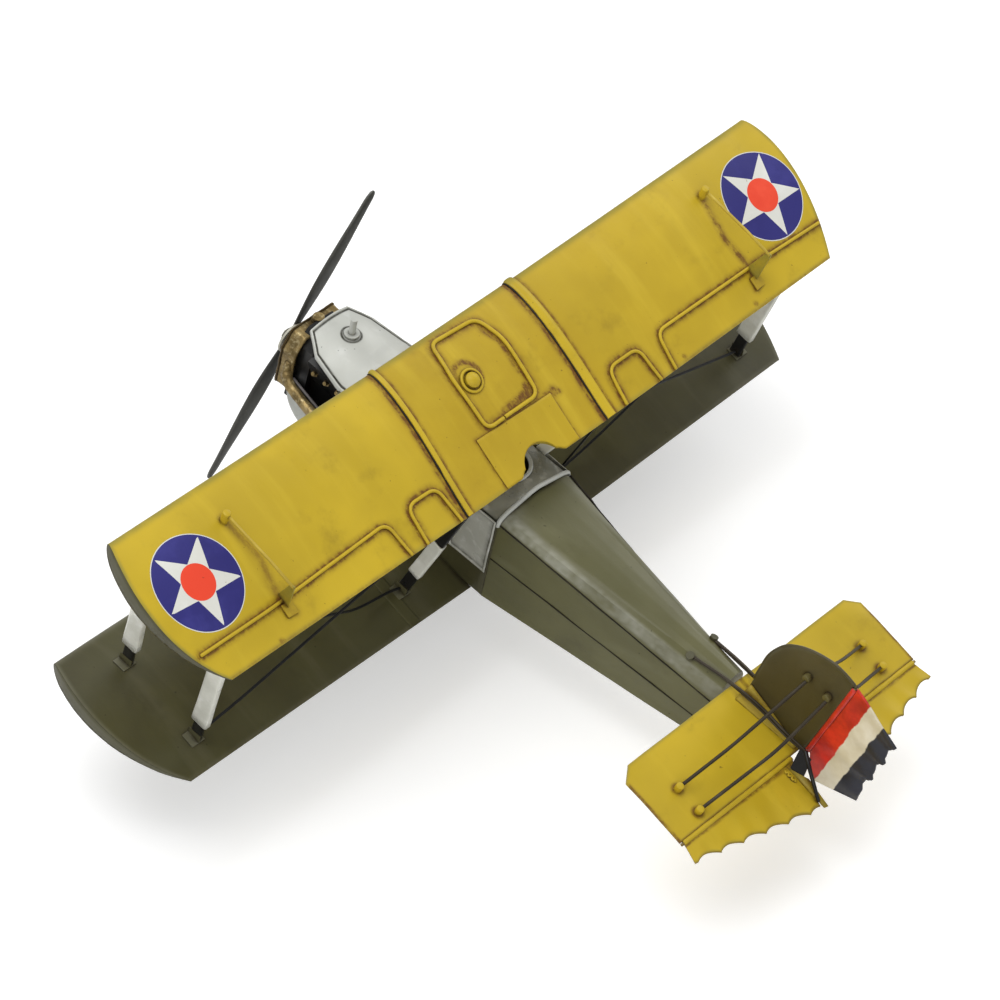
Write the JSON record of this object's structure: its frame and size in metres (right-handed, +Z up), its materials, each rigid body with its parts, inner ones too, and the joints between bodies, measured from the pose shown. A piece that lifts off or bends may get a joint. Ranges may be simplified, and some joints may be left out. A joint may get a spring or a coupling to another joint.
{
  "type": "propeller plane model",
  "caption": "Handmade tin-plate biplane model with open cockpits, spinning propeller, rolling wheels, moving rudder and elevators, standing tail-down on a skid.",
  "frame": {"origin": "Middle of the bounding box on the floor plane; the model stands tail-down, as on its wheels and skid.", "axes": "+X points to the pilot's left (port) wing tip, -Y points to the nose, +Z points up from the floor."},
  "size_m": [0.4996, 0.4214, 0.1834],
  "materials": {
    "yellow_paint": "aged satin gloss",
    "olive_paint": "aged satin",
    "silver_paint": "aged satin",
    "brass": "mottled, aged",
    "black_paint": "satin",
    "propeller_paint": "worn satin",
    "hub_paint": "worn satin",
    "shaft_steel": "dull",
    "wire_steel": "dark, aged",
    "rudder_paint": "worn satin, three hand-painted stripes",
    "seat_paint": "aged satin",
    "tyre_rubber": "matt"
  },
  "bodies": {
    "airframe": {"fuselage_rear": "olive_paint", "fuselage_front": "olive_paint", "firewall": "black_paint", "cockpit_coaming": "silver_paint", "coaming_beads": "silver_paint", "side_panels": "silver_paint", "seats": "seat_paint", "lower_cowl": "silver_paint", "hood": "silver_paint", "hood_post": "hub_paint", "engine_block": "black_paint", "engine_studs": "brass", "exhaust_pipes": "brass", "radiator_frame": "brass", "radiator_core": "black_paint", "radiator_cap": "brass", "nose_bearing": "brass", "upper_wing_centre": "yellow_paint", "upper_wing_port": "yellow_paint", "upper_wing_starboard": "yellow_paint", "upper_wing_straps": "yellow_paint", "wing_tip_caps": "olive_paint", "tank_outline": "yellow_paint", "tank_cap": "yellow_paint", "wing_surface_rods": "yellow_paint", "aileron_horns": "yellow_paint", "aileron_wires": "wire_steel", "aileron_pegs": "yellow_paint", "lower_wing_port": "olive_paint", "lower_wing_starboard": "olive_paint", "lower_wing_straps": "olive_paint", "cabane_struts": "silver_paint", "strut_sleeves": "silver_paint", "strut_cores": "black_paint", "strut_feet": "olive_paint", "rigging_wires": "black_paint", "stabiliser": "yellow_paint", "elevator_hinge_wires": "brass", "fin": "olive_paint", "rudder_hinge_wire": "brass", "tail_pegs": "yellow_paint", "tail_brace_wires": "wire_steel", "fuselage_pegs": "olive_paint", "control_wires": "wire_steel", "undercarriage_legs": "black_paint", "axle": "shaft_steel", "tail_skid": "black_paint"},
    "propeller": {"propeller_shaft": "shaft_steel", "propeller_blades": "propeller_paint", "propeller_hub": "hub_paint"},
    "wheel_port": {"tyre_port": "tyre_rubber", "rim_port": "olive_paint"},
    "wheel_starboard": {"tyre_starboard": "tyre_rubber", "rim_starboard": "olive_paint"},
    "rudder_surface": {"rudder": "rudder_paint"},
    "elevator_surface_port": {"elevator_port": "yellow_paint", "elevator_horn_port": "black_paint"},
    "elevator_surface_starboard": {"elevator_starboard": "yellow_paint", "elevator_horn_starboard": "black_paint"}
  },
  "joints": [
    {"name": "propeller_spin", "type": "hinge", "parent": "airframe", "child": "propeller", "pos_m": [0, -0.19833, 0.1], "axis": [0, -0.9903, 0.1392], "continuous": true},
    {"name": "wheel_port_spin", "type": "hinge", "parent": "airframe", "child": "wheel_port", "pos_m": [0.046, -0.14833, 0.02], "axis": [1, 0, 0], "continuous": true},
    {"name": "wheel_starboard_spin", "type": "hinge", "parent": "airframe", "child": "wheel_starboard", "pos_m": [-0.046, -0.14833, 0.02], "axis": [1, 0, 0], "continuous": true},
    {"name": "rudder_hinge", "type": "hinge", "parent": "airframe", "child": "rudder_surface", "pos_m": [0, 0.15897, 0.05988], "axis": [0, 0.319, 0.9478], "range_deg": [-20, 20]},
    {"name": "elevator_port_hinge", "type": "hinge", "parent": "airframe", "child": "elevator_surface_port", "pos_m": [0.052, 0.15586, 0.0586], "axis": [1, 0, 0], "range_deg": [-15, 15]},
    {"name": "elevator_starboard_hinge", "type": "hinge", "parent": "airframe", "child": "elevator_surface_starboard", "pos_m": [-0.052, 0.15586, 0.0586], "axis": [1, 0, 0], "range_deg": [-15, 15]}
  ],
  "couplings": [
    {"joint": "elevator_starboard_hinge", "follows": "elevator_port_hinge", "ratio": 1}
  ]
}
